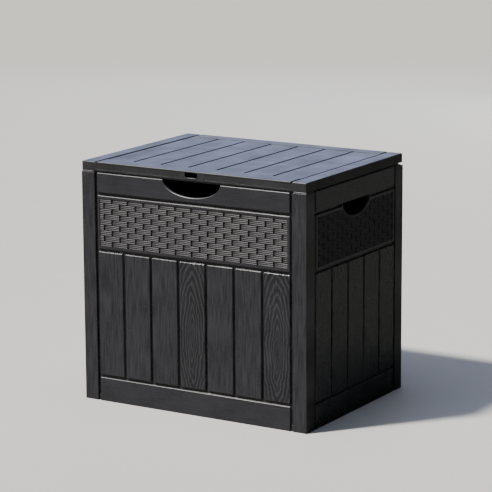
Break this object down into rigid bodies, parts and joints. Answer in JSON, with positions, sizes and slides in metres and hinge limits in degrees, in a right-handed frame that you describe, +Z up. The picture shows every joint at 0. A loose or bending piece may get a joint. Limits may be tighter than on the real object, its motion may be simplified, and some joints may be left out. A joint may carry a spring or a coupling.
{
  "type": "deck storage box",
  "caption": "Upright plastic deck storage box with plank and woven panels, corner posts, a hinged lid, a front lift grip and side handle openings.",
  "frame": {"origin": "on the ground, under the middle of the box", "axes": "+X along the long side to the right of someone facing the front, +Y towards the back where the lid is hinged, +Z up"},
  "size_m": [0.56, 0.425, 0.53],
  "materials": {
    "resin": "satin, finely grained",
    "steel": "plain"
  },
  "bodies": {
    "box": {"base_tray": "resin", "front_panel": "resin", "back_panel": "resin", "left_panel": "resin", "right_panel": "resin", "front_left_post": "resin", "front_right_post": "resin", "rear_left_post": "resin", "rear_right_post": "resin", "front_grip_cup": "resin", "left_hand_cup": "resin", "right_hand_cup": "resin", "hinge_pin_left": "steel", "hinge_pin_right": "steel", "pin_caps": "steel", "base_screws": "steel", "corner_screws": "steel", "cup_screws": "steel", "lip_screws": "steel"},
    "lid": {"lid": "resin"}
  },
  "joints": [
    {"name": "lid_hinge", "type": "hinge", "parent": "box", "child": "lid", "pos_m": [0, 0.2063, 0.511], "axis": [-1, 0, 0], "range_deg": [0, 105]}
  ]
}
